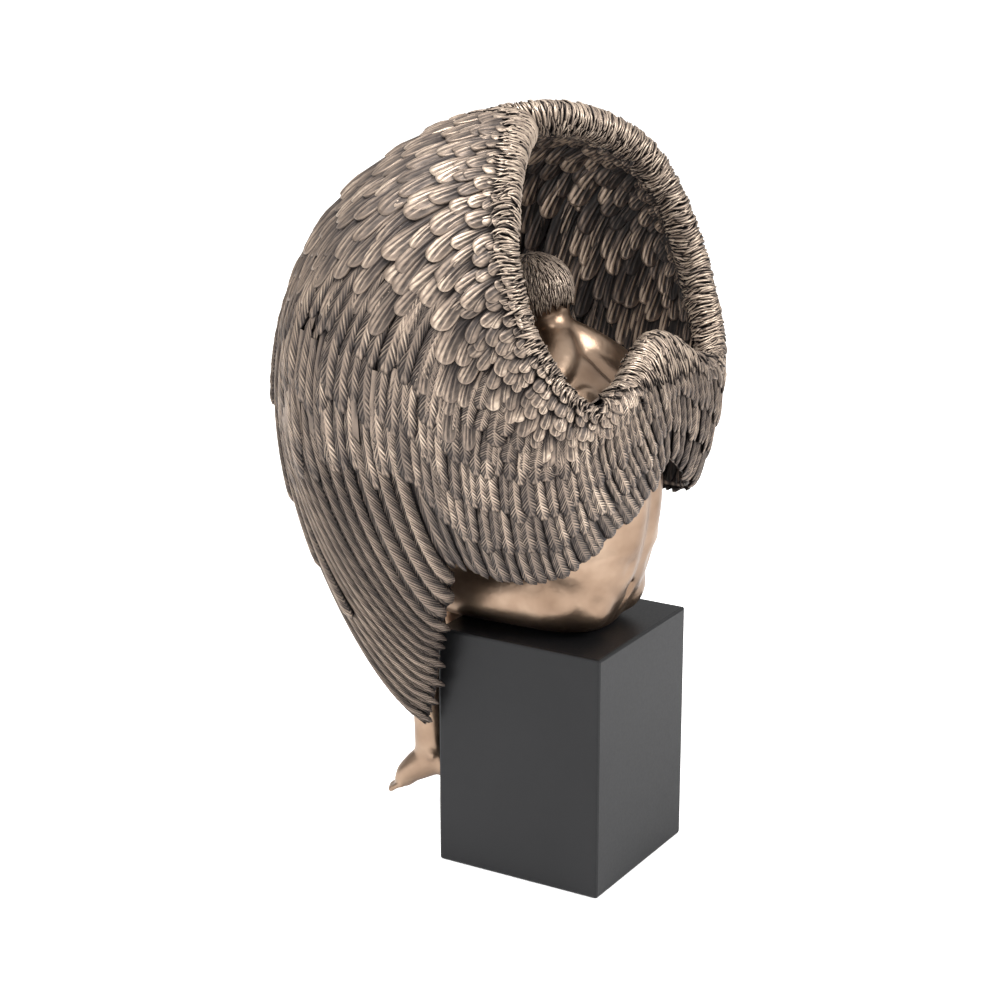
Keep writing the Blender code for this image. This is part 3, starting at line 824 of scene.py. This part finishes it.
# The figure under the wings, in the solids' pose: rounded masses (middle, half sizes, forward
# tilt) and tapered lengths (middle, half width, half depth). What lies beside x = 0 is mirrored.
shinLine = -(plinthHalf + 12.5)
soleLine = 13 - seatHeight / mm
figure = {
    "masses": (
        ((16, 9, 23), (20, 22, 23), 0),  # rump
        ((15, 20, 17), (14, 13, 15), 0),
        ((36, 4, 107), (12.5, 12.5, 13), 0),  # shoulder
        ((18, 21, 102), (13, 10, 16), 25),  # shoulder blade
        ((14, -3, 98), (18, 9.5, 15), 20),  # chest
        ((9, 36, 96), (16, 14, 13), 0),  # where the wings leave the back
        ((19, shinLine - 15, 14), (13, 13, 13.5), 0),  # knee
        ((6, -74, 37), (7, 11, 6), -8),  # hand
        ((17, 3, 20), (20, 20, 20), 0),  # root of the thigh
        ((10, shinLine - 11, soleLine + 27), (6.6, 9.4, 9), 0),  # ankle
        ((10, shinLine - 3, soleLine + 20), (6, 6.5, 7.5), 10),  # heel
        ((10, shinLine - 26, soleLine + 8.5), (7.6, 6, 5), 28),  # ball of the foot
    ),
    "lengths": (
        (((0, 2, 6), 30, 23), ((0, 9, 30), 34, 29), ((0, 16, 52), 31, 29), ((0, 17, 74), 32, 28.5),
         ((0, 12, 96), 37, 24), ((0, 4, 112), 31, 17), ((0, -3, 122), 15, 12)),  # trunk
        (((0, 2, 114), 14, 13), ((0, -6, 128), 11.5, 12), ((0, -12, 142), 11, 12)),  # neck
        (((4, -3, 131), 9, 9), ((15, 4, 123), 10, 10), ((35, 6, 111), 11, 10)),  # trapezius
        (((37, 3, 106), 11, 12), ((40, -9, 82), 10, 11), ((39, -24, 49), 7.5, 8.5)),  # upper arm
        (((39, -24, 49), 8, 8.5), ((32, -39, 44), 8, 8), ((10, -66, 40), 5, 5)),  # forearm
        (((17, 2, 20), 20, 20), ((19, -36, 17), 17.5, 17), ((19, shinLine - 13, 14), 13, 13)),  # thigh
        (((18, shinLine - 16, 8), 12, 12), ((16, shinLine - 12, -20), 11.5, 12),
         ((12, shinLine - 12, -48), 7.5, 8.2), ((10, shinLine - 11.5, soleLine + 26), 6.6, 9)),  # shin
        (((10, shinLine - 8, soleLine + 23), 6.2, 8.6), ((10, shinLine - 17, soleLine + 17.5), 6.8, 8),
         ((10, shinLine - 27, soleLine + 9.5), 7.4, 5.4)),  # foot
    ),
    "toes": ((-5.4, 2.8, 9.4), (-1.7, 2.0, 10), (1.2, 1.9, 9.2), (3.9, 1.8, 8), (6.2, 1.7, 6.6)),
    "toeRoot": (10, shinLine - 25, soleLine + 7.5),
    "toeFall": 28,
    "fingers": (43.5, 3.9, 1.9),  # height of the first, from one to the next, and hand over hand
    "fingerWidth": 1.9,
    "thumb": (((6, -70, 43), 2.6, 2.8), ((2, -76, 46), 2.3, 2.4), ((-3, -80, 46.5), 1.9, 2.0)),
    "coarse": (1.1, 22),  # grain of the clay and how often it is smoothed, for the large forms
    "fine": (0.76, 3),
    "share": 0.5,  # of the faces that stay
    "seatGap": 0.3,  # the seat side is flat, and this far over the block
}
# The head in its own frame: sideways, forwards and up from its middle, which is bent forwards
head = {
    "middle": (0, -16, 146),
    "bow": 32,
    "large": (((0, -1, 4), (16.3, 19.5, 17)), ((0, 5.5, -9), (11.5, 12, 14))),  # skull, face and jaw
    "masses": (
        ((0, 13.5, -20), (5.2, 4.5, 4)),  # chin
        ((8.8, 10.5, -5.5), (5, 5.5, 4.2)),  # cheekbone
        ((5.5, 15.6, 2.5), (6, 3, 2.2)),  # brow
        ((0, 18.2, -13.2), (4.2, 1.8, 1.2)),  # lips
        ((0, 17.9, -15.6), (3.6, 1.9, 1.3)),
        ((2.4, 19.3, -9.2), (1.8, 1.8, 1.8)),  # wing of the nose
        ((6.1, 14.4, -1.6), (3.7, 3.2, 2.3)),  # closed lid
        ((16.6, -2, -2), (2.2, 5, 7.5)),  # ear
    ),
    "nose": (((0, 16.5, 1.5), 1.6, 1.6), ((0, 19.5, -4), 1.8, 2), ((0, 21.5, -8.6), 2.3, 2.2)),
}
# Strokes of the modelling tool: path, width, and height over the skin or depth below it
strokes = (
    (((0, 12, 127), (0, 22, 116), (0, 31, 106)), 3.2, -1.7),  # spine between the shoulder blades
    (((0, 45, 76), (0, 46, 58), (0, 42, 38), (0, 36, 22)), 4.5, -2.0),
    (((0, 36, 21), (0, 32, 10), (0, 27, -2)), 1.8, -4.0),
    (((10, 41, 34), (10, 40, 31)), 3.5, -1.2),
    (((9, 33, 113), (13, 36, 99), (16, 37, 86)), 3.0, -1.1),  # inner edge of the shoulder blade
    (((14, 27, 119), (24, 22, 116), (34, 14, 113)), 3.0, 1.1),
    (((28, 22, 108), (38, 15, 99), (45, 5, 90)), 2.6, -1.1),  # under the shoulder muscle
    (((11, -6, 128), (17, 0, 122), (30, 2, 120)), 2.4, -0.8),
    (((33, 6, 36), (26, -10, 38), (12, -18, 36)), 3.0, -1.4),  # crease of the hip
    (((36, 12, 40), (30, 30, 38), (14, 42, 42)), 3.5, 0.8),
    (((19, shinLine - 28, 17), (19, shinLine - 28, 13)), 5.0, 1.0),  # kneecap
    (((17, shinLine - 28, 2), (13, shinLine - 24, -30), (11, shinLine - 19, -62)), 1.8, 0.8),
    (((27, shinLine - 10, -8), (24, shinLine - 6, -34)), 3.0, -0.9),  # beside the calf
    (((16, shinLine - 8, soleLine + 26), (16, shinLine - 8, soleLine + 25)), 2.4, 1.3),  # ankle bones
    (((4, shinLine - 8, soleLine + 28), (4, shinLine - 8, soleLine + 27)), 2.4, 1.3),
    (((14, shinLine - 3, soleLine + 34), (14, shinLine - 2, soleLine + 24)), 2.0, -0.9),
)


def headPlace(sideways, forwards, up):
    bow = math.radians(head["bow"])
    x, y, z = head["middle"]
    return (x + sideways, y - forwards * math.cos(bow) - up * math.sin(bow),
            z - forwards * math.sin(bow) + up * math.cos(bow))


def addMass(middle, sizes, tilt):
    bpy.ops.mesh.primitive_ico_sphere_add(subdivisions=4, radius=mm)
    mass = bpy.context.active_object
    mass.location = Vector(middle) * mm + Vector((0, 0, seatHeight))
    mass.rotation_euler = (math.radians(tilt), 0, 0)
    mass.scale = sizes
    return mass


def addLength(stations, sides=20, steps=5):
    # A limb: the plain tube, drawn out along a smooth line through its stations
    rows = steps * (len(stations) - 1) + 1
    share = np.linspace(0, 1, rows)
    line = smoothRow([s[0] for s in stations], share)
    width, depth = smoothRow([s[1:] for s in stations], share).T
    along = np.gradient(line, axis=0)
    along /= np.linalg.norm(along, axis=1, keepdims=True)
    flank = np.array([1.0, 0, 0]) if abs(along[0, 0]) < 0.9 else np.array([0, 0, 1.0])
    sideways = flank - along * (along @ flank)[:, None]
    sideways /= np.linalg.norm(sideways, axis=1, keepdims=True)
    back = np.cross(along, sideways)
    turn = np.linspace(0, 2 * math.pi, sides, endpoint=False)[None, :, None]
    wide = sideways[:, None] * width[:, None, None] * np.cos(turn)
    deep = back[:, None] * depth[:, None, None] * np.sin(turn)
    points = (line[:, None] + wide + deep).reshape(-1, 3)
    tube, caps = drawnTube(rows, sides)
    return newMesh("length", points, facesOut(points, [tube, caps]))


def addHead():
    parts = [addMass(headPlace(*middle), sizes, head["bow"]) for middle, sizes in head["masses"]]
    parts.append(addLength([(headPlace(*place), width, depth) for place, width, depth in head["nose"]]))
    return parts


def addToes():
    parts = []
    fall = math.radians(figure["toeFall"])
    for sideways, width, length in figure["toes"]:
        ahead, down = -math.cos(fall) * length, -math.sin(fall) * length
        start = np.array(figure["toeRoot"]) + np.array([sideways * 0.85, 0, -0.2 * abs(sideways)])
        middle = start + np.array([sideways * 0.1, ahead * 0.5, down * 0.35])
        end = start + np.array([sideways * 0.15, ahead, down])
        parts.append(addLength(((start, width, width), (middle, width * 0.92, width * 0.8),
                                (end, width * 0.9, width * 0.8)), sides=12, steps=4))
        parts.append(addMass(end, (width * 1.02, width * 1.1, width * 0.9), figure["toeFall"]))
    return parts


def addFingers():
    # Both hands' fingers, laid over each other before the shins
    parts = []
    width = figure["fingerWidth"]
    first, apart, over = figure["fingers"]
    for hand in (1, -1):
        for number in range(4):
            high = first - apart * number - (over if hand < 0 else 0)
            stations = (((hand * 10, -77.5, high), width, width),
                        ((hand * 3, -84, high + 0.6), width, width),
                        ((-hand * 4, -84.5, high - 0.6), width * 0.95, width * 0.95),
                        ((-hand * 9, -81, high - 1.2), width * 0.8, width * 0.8))
            parts.append(addLength(stations, sides=12, steps=4))
    parts.append(addLength(figure["thumb"], sides=12))
    return parts


def pressStrokes(points, normals, paths):
    # Moves each point along its normal where a stroke runs by, on both sides of the figure
    move = np.zeros(len(points))
    mirrored = points * (np.sign(points[:, :1]) * [1, 0, 0] + [0, 1, 1])
    for path, width, height in paths:
        path = np.array(path, float)
        nearest = np.full(len(points), np.inf)
        for start, end in zip(path, path[1:]):
            run = end - start
            share = np.clip((mirrored - start) @ run / (run @ run), 0, 1)
            away = np.linalg.norm(mirrored - start - share[:, None] * run, axis=1)
            nearest = np.minimum(nearest, away)
        move += height * np.exp(-((nearest / width) ** 2))
    return points + normals * move[:, None]


def joinParts(parts):
    deselectAll()
    for part in parts:
        part.select_set(True)
    bpy.context.view_layer.objects.active = parts[0]
    bpy.ops.object.join()
    bpy.ops.object.transform_apply(location=True, rotation=True, scale=True)
    return bpy.context.active_object


def applyModifier(kind, **settings):
    # Puts one modifier on the active object, and applies it
    obj = bpy.context.active_object
    modifier = obj.modifiers.new(kind.lower(), kind)
    for name, value in settings.items():
        setattr(modifier, name, value)
    bpy.ops.object.modifier_apply(modifier=modifier.name)


def meltClay(grain, rubs):
    applyModifier("REMESH", mode="VOXEL", voxel_size=grain * mm)
    applyModifier("SMOOTH", factor=0.5, iterations=rubs)


def modelFigure():
    # Masses and limbs melted together as clay is and smoothed, then the small forms laid on, and
    # the whole gone over with the tool
    deselectAll()
    large = [addMass(*mass) for mass in figure["masses"]]
    large += [addLength(stations) for stations in figure["lengths"]]
    large += [addMass(headPlace(*middle), sizes, head["bow"]) for middle, sizes in head["large"]]
    clay = joinParts(large)
    clay.name = "body"
    applyModifier("MIRROR", use_mirror_merge=False)
    meltClay(*figure["coarse"])
    small = joinParts(addHead() + addToes())
    applyModifier("MIRROR", use_mirror_merge=False)
    clay = joinParts([clay, small] + addFingers())
    meltClay(*figure["fine"])
    count = len(clay.data.vertices)
    points = np.empty(3 * count)
    clay.data.vertices.foreach_get("co", points)
    normals = np.empty(3 * count)
    clay.data.vertices.foreach_get("normal", normals)
    points = points.reshape(-1, 3) / mm - [0, 0, seatHeight / mm]
    points = pressStrokes(points, normals.reshape(-1, 3), strokes)
    gap = figure["seatGap"]
    overBlock = (abs(points[:, :2]) < plinthHalf + gap).all(axis=1)
    points[overBlock, 2] = np.maximum(points[overBlock, 2], gap)
    points = (points + [0, 0, seatHeight / mm]) * mm
    clay.data.vertices.foreach_set("co", points.ravel())
    clay.data.update()
    applyModifier("DECIMATE", ratio=figure["share"])
    bpy.ops.object.shade_smooth()
    return clay


# Short hair combed down from the crown: locks over the skull, in the head's own frame
hair = {
    "locks": 2300,
    "length": 5.2,
    "width": 1.05,
    "crown": (0, -0.35, 0.94),
    "napeLine": -0.6,
    "browLine": 0.25,
    "rootShare": 0.35,  # this share of a lock lies above its place
    "scatter": 0.025,
    "wave": 0.25,
    "lift": 0.35,
}


def combHair():
    middle, radii = head["large"][0]
    number = np.arange(hair["locks"]) + 0.5
    level = 1 - 2 * number / hair["locks"]
    turn = number * math.pi * (3 - math.sqrt(5))
    flat = np.sqrt(1 - level**2)
    facing = np.stack([flat * np.cos(turn), flat * np.sin(turn), level], axis=-1)
    facing += draw.normal(0, hair["scatter"], facing.shape)
    behindBrow = facing[:, 1] < hair["browLine"] + 0.6 * np.maximum(facing[:, 2], 0)
    facing = facing[(facing[:, 2] > hair["napeLine"]) & behindBrow]
    facing /= np.linalg.norm(facing, axis=1, keepdims=True)
    crown = np.array(hair["crown"])
    flow = facing * (facing @ crown)[:, None] - crown
    flow /= np.linalg.norm(flow, axis=1, keepdims=True)
    flank = np.cross(facing, flow)
    count = len(facing)
    wave = vary(count, hair["wave"])[:, None]
    flow = flow * np.cos(wave) + flank * np.sin(wave)
    flank = np.cross(facing, flow)
    shape = featherShapes["tuft"]
    length = hair["length"] * (1 + vary(count, 0.25))
    along = (shape["along"] - hair["rootShare"])[None, ..., None] * (length / radii[2])[:, None, None, None]
    way = facing[:, None, None] + flow[:, None, None] * along
    way /= np.linalg.norm(way, axis=-1, keepdims=True)
    lift = hair["lift"] * (1 + vary(count, 0.8))[:, None, None]
    high = shape["height"]["width"] * hair["width"] + shape["height"]["thick"] * 0.5
    high = high + lift * (2 * shape["along"] - 0.6)
    points = np.array(middle) + way * np.array(radii)
    points = points + way * high[..., None]
    points = points + flank[:, None, None] * (shape["side"][None] * hair["width"] / 2)[..., None]
    x, y, z = headPlace(points[..., 0], points[..., 1], points[..., 2])
    points = np.stack([x, y, z], axis=-1).reshape(-1, 3)
    starts = (np.arange(count) * shape["along"].size)[:, None, None]
    faces = [(shape["sides"][None] + starts).reshape(-1, 4), (shape["caps"][None] + starts).reshape(-1, 4)]
    obj = newMesh("hair", points, facesOut(points, faces))
    # Paler on each lock's ridge from the dry brush; its sides, underside and root are darker, painted shade.
    tone = (0.85 + vary(count, 0.2))[:, None, None]
    setAttribute(obj, "rubbed", np.clip(shape["bright"][None] * tone, 0, 1))
    return obj


outerLeft = plumage("left_wing_coverts", dressSide(1))
outerRight = plumage("right_wing_coverts", dressSide(-1))
flights = plumage("flight_feathers", flightBatch(1) + flightBatch(-1))
inner = plumage("inner_feathers", innerBatches(1) + innerBatches(-1))
fluff = plumage("rim_fluff", fluffBatches(1) + fluffBatches(-1))
wingSkin = bareSkin()
body = modelFigure()
hairCap = combHair()
newPieces = (outerLeft, outerRight, flights, inner, fluff, wingSkin, body, hairCap)
for obj in newPieces:
    triangles = sum(len(face.vertices) - 2 for face in obj.data.polygons)
    points = np.array([vertex.co for vertex in obj.data.vertices]) / mm
    report(f"{obj.name} {triangles} triangles {np.round(points.min(0), 1)} {np.round(points.max(0), 1)}")


def toLinear(code):
    # An sRGB hex colour as the shaders take it
    parts = [int(code[k : k + 2], 16) / 255 for k in (0, 2, 4)]
    return (*[c / 12.92 if c <= 0.04045 else ((c + 0.055) / 1.055) ** 2.4 for c in parts], 1.0)


def addNode(tree, kind, values=None, links=None, stops=(), **settings):
    # One node with its settings, the values and links of its sockets, and a ramp's colour stops
    node = tree.nodes.new(kind)
    for name, value in settings.items():
        setattr(node, name, value)
    for name, value in (values or {}).items():
        node.inputs[name].default_value = value
    for name, source in (links or {}).items():
        tree.links.new(source, node.inputs[name])
    for number, (place, code) in enumerate(stops):
        elements = node.color_ramp.elements
        element = elements[number] if number < len(elements) else elements.new(place)
        element.position = place
        element.color = toLinear(code)
    return node


def newMaterial(name, metallic, roughness):
    material = bpy.data.materials.new(name)
    material.use_nodes = True
    shader = material.node_tree.nodes["Principled BSDF"]
    shader.inputs["Metallic"].default_value = metallic
    shader.inputs["Roughness"].default_value = roughness
    return material, material.node_tree, shader


def brushedBronzeWithPaintedShade(name, stops):
    # Bronze powder resin, stained dark and dry brushed: the stain stays in the hollows, and the brush leaves
    # pale tan metal on the edges and the ridges.
    # The hollows are found by occlusion, so their darkening is the stain and painted shade together, and the
    # per-point paleness also holds painted light from above and painted shade under the feathers. The patina
    # lies in clouds 14 mm across. The powder's grit is drawn 0.8 mm wide, coarser than it is, so that it
    # shows.
    material, tree, shader = newMaterial(name, 0.55, 0.45)
    place = addNode(tree, "ShaderNodeTexCoord").outputs["Object"]
    rubbed = addNode(tree, "ShaderNodeAttribute", attribute_name="rubbed").outputs["Fac"]
    # Occlusion within 3.5 mm darkens the colour: the stain in the hollows and painted shade together.
    hollow = addNode(tree, "ShaderNodeAmbientOcclusion", {"Distance": 0.0035}, samples=4)
    clear = addNode(tree, "ShaderNodeMath", {1: 1.3}, {0: hollow.outputs["AO"]}, operation="POWER")
    patina = addNode(tree, "ShaderNodeTexNoise", {"Scale": 70.0, "Detail": 4.0}, {"Vector": place})
    grit = addNode(tree, "ShaderNodeTexNoise", {"Scale": 1300.0, "Detail": 2.0}, {"Vector": place})
    mottle = addNode(tree, "ShaderNodeMath", {1: 0.34, 2: -0.12}, {0: patina.outputs["Fac"]},
                     operation="MULTIPLY_ADD")
    # The attribute's paleness, the dry brush's wear with painted light and shade, plus the patina's clouds.
    paleness = addNode(tree, "ShaderNodeMath", None, {0: rubbed, 1: mottle.outputs[0]}, operation="ADD")
    bare = addNode(tree, "ShaderNodeMapRange", {"To Min": 0.12, "To Max": 1.15}, {"Value": clear.outputs[0]})
    level = addNode(tree, "ShaderNodeMath", None, {0: paleness.outputs[0], 1: bare.outputs["Result"]},
                    operation="MULTIPLY")
    colour = addNode(tree, "ShaderNodeValToRGB", None, {"Fac": level.outputs[0]}, stops)
    tree.links.new(colour.outputs["Color"], shader.inputs["Base Color"])
    worn = addNode(tree, "ShaderNodeMapRange", {"To Min": 0.62, "To Max": 0.36}, {"Value": level.outputs[0]})
    tree.links.new(worn.outputs["Result"], shader.inputs["Roughness"])
    bump = addNode(tree, "ShaderNodeBump", {"Strength": 0.3, "Distance": 0.0002},
                   {"Height": grit.outputs["Fac"]})
    tree.links.new(bump.outputs["Normal"], shader.inputs["Normal"])
    return material


featherStainAndShade = ((0.0, "171516"), (0.2, "322b29"), (0.42, "594f48"), (0.65, "867669"), (0.85, "b19d8b"),
                (1.0, "dac7b2"))
# The inside's stops are darker all through: painted shade, a shaded copy of the same bronze for the feathers
# that face the body.
innerPaintedShade = ((0.0, "0f0d0d"), (0.3, "1f1b1a"), (0.55, "3a322e"), (0.8, "77665a"), (1.0, "bca590"))
featherBronze = brushedBronzeWithPaintedShade("dry_brushed_bronze_painted_shade", featherStainAndShade)
shadedBronze = brushedBronzeWithPaintedShade("inner_painted_shade_bronze", innerPaintedShade)
for obj in (outerLeft, outerRight, flights, fluff, wingSkin, hairCap):
    obj.data.materials.append(featherBronze)
# The inner feathers take the shaded copy, which is painted shade.
inner.data.materials.append(shadedBronze)


def polishedBronze():
    # Bronze powder resin rubbed bright: warm metal whose gloss changes in clouds 22 mm across,
    # over low waves 4 mm wide that the file left
    material, tree, shader = newMaterial("polished_bronze", 1.0, 0.24)
    place = addNode(tree, "ShaderNodeTexCoord").outputs["Object"]
    cloud = addNode(tree, "ShaderNodeTexNoise", {"Scale": 45.0, "Detail": 3.0}, {"Vector": place})
    colour = addNode(tree, "ShaderNodeValToRGB", None, {"Fac": cloud.outputs["Fac"]},
                     ((0.3, "826b59"), (0.55, "9c8470"), (0.75, "b49c87")))
    tree.links.new(colour.outputs["Color"], shader.inputs["Base Color"])
    gloss = addNode(tree, "ShaderNodeMapRange", {"To Min": 0.26, "To Max": 0.42},
                    {"Value": cloud.outputs["Fac"]})
    tree.links.new(gloss.outputs["Result"], shader.inputs["Roughness"])
    filed = addNode(tree, "ShaderNodeTexNoise", {"Scale": 260.0, "Detail": 3.0}, {"Vector": place})
    bump = addNode(tree, "ShaderNodeBump", {"Strength": 0.25, "Distance": 0.0008},
                   {"Height": filed.outputs["Fac"]})
    tree.links.new(bump.outputs["Normal"], shader.inputs["Normal"])
    return material


body.data.materials.clear()
body.data.materials.append(polishedBronze())

for obj in newPieces:
    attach(obj, "root")
    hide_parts("angel")


# Soft lamps: place, what each is aimed at, side and power in watts. The room is as the metal sees
# it, bright overhead over darker walls. The floor gives off enough to look white itself.
studioLight = {
    "lamps": {
        "key": ((-0.2, 1.5, 1.1), (0, 0, 0.2), 0.8, 20),
        "top": ((0.6, -0.2, 1.6), (0, 0, 0.25), 0.8, 26),
        "fill": ((1.4, -0.6, 0.7), (0, 0, 0.2), 1.0, 6),
    },
    "room": ((0.0, "3c3c3d"), (0.12, "7c7c7d"), (0.4, "efefef"), (1.0, "ffffff")),
    "floorSide": 40,
    "floorDrop": 0.0002,
    "floorGlow": 0.55,
}


def studio():
    # A pale floor, a bright even room and three large soft lamps
    deselectAll()
    level = plinthLow.z - studioLight["floorDrop"]
    bpy.ops.mesh.primitive_plane_add(size=studioLight["floorSide"], location=(0, 0, level))
    floor = bpy.context.active_object
    floor.name = "floor"
    material, tree, shader = newMaterial("pale_floor", 0.0, 0.9)
    shader.inputs["Base Color"].default_value = toLinear("fbfbfb")
    shader.inputs["Emission Color"].default_value = (1, 1, 1, 1)
    seen = addNode(tree, "ShaderNodeLightPath").outputs["Is Camera Ray"]
    glow = addNode(tree, "ShaderNodeMath", {1: studioLight["floorGlow"]}, {0: seen}, operation="MULTIPLY")
    tree.links.new(glow.outputs[0], shader.inputs["Emission Strength"])
    floor.data.materials.append(material)
    world = bpy.data.worlds.new("studio")
    bpy.context.scene.world = world
    world.use_nodes = True
    tree = world.node_tree
    facing = addNode(tree, "ShaderNodeTexCoord").outputs["Generated"]
    upward = addNode(tree, "ShaderNodeSeparateXYZ", None, {0: facing})
    room = addNode(tree, "ShaderNodeValToRGB", None, {"Fac": upward.outputs["Z"]}, studioLight["room"])
    seen = addNode(tree, "ShaderNodeLightPath").outputs["Is Camera Ray"]
    backdrop = addNode(tree, "ShaderNodeMix", {7: (1, 1, 1, 1)}, {0: seen, 6: room.outputs["Color"]},
                       data_type="RGBA")
    tree.links.new(backdrop.outputs[2], tree.nodes["Background"].inputs["Color"])
    tree.nodes["Background"].inputs["Strength"].default_value = 1.0
    for name, (place, aim, size, power) in studioLight["lamps"].items():
        light = bpy.data.lights.new(name, "AREA")
        light.energy = power
        light.size = size
        lamp = bpy.data.objects.new(name, light)
        bpy.context.scene.collection.objects.link(lamp)
        lamp.location = place
        lamp.rotation_euler = (Vector(aim) - Vector(place)).to_track_quat("-Z", "Y").to_euler()


def blackPlinth():
    # Sprayed black paint, satin: an even dark face in clouds 55 mm across. Its grain breaks up the
    # gloss and is drawn 1 mm wide, coarser than it is, so that it shows.
    material, tree, shader = newMaterial("satin_black_paint", 0.0, 0.42)
    place = addNode(tree, "ShaderNodeTexCoord").outputs["Object"]
    grain = addNode(tree, "ShaderNodeTexNoise", {"Scale": 900.0, "Detail": 3.0}, {"Vector": place})
    cloud = addNode(tree, "ShaderNodeTexNoise", {"Scale": 18.0, "Detail": 2.0}, {"Vector": place})
    colour = addNode(tree, "ShaderNodeValToRGB", None, {"Fac": cloud.outputs["Fac"]},
                     ((0.3, "121214"), (0.7, "171719")))
    shader.inputs["Specular IOR Level"].default_value = 0.3
    tree.links.new(colour.outputs["Color"], shader.inputs["Base Color"])
    gloss = addNode(tree, "ShaderNodeMapRange", {"To Min": 0.38, "To Max": 0.5},
                    {"Value": grain.outputs["Fac"]})
    tree.links.new(gloss.outputs["Result"], shader.inputs["Roughness"])
    bump = addNode(tree, "ShaderNodeBump", {"Strength": 0.12, "Distance": 0.0001},
                   {"Height": grain.outputs["Fac"]})
    tree.links.new(bump.outputs["Normal"], shader.inputs["Normal"])
    return material


for slot in bpy.data.objects["plinth"].material_slots:
    slot.material = blackPlinth()


# The photograph's viewpoint: where the camera stands, and its own three directions
viewpoint = {
    "lens": 86.4,
    "sensor": 36,
    "place": (0.9084, 0.5075, 0.49),
    "right": (-0.5119, 0.8590, 0.0),
    "up": (-0.2517, -0.1500, 0.9560),
    "back": (0.8213, 0.4894, 0.2930),
}


def setCamera():
    camera = bpy.data.cameras.new("camera")
    camera.lens = viewpoint["lens"]
    camera.sensor_width = viewpoint["sensor"]
    obj = bpy.data.objects.new("camera", camera)
    bpy.context.scene.collection.objects.link(obj)
    place = Matrix((viewpoint["right"], viewpoint["up"], viewpoint["back"])).transposed().to_4x4()
    place.translation = viewpoint["place"]
    obj.matrix_world = place
    bpy.context.scene.camera = obj
    bpy.context.scene.view_settings.view_transform = "Standard"


studio()
setCamera()
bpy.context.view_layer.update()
report("scene ready")
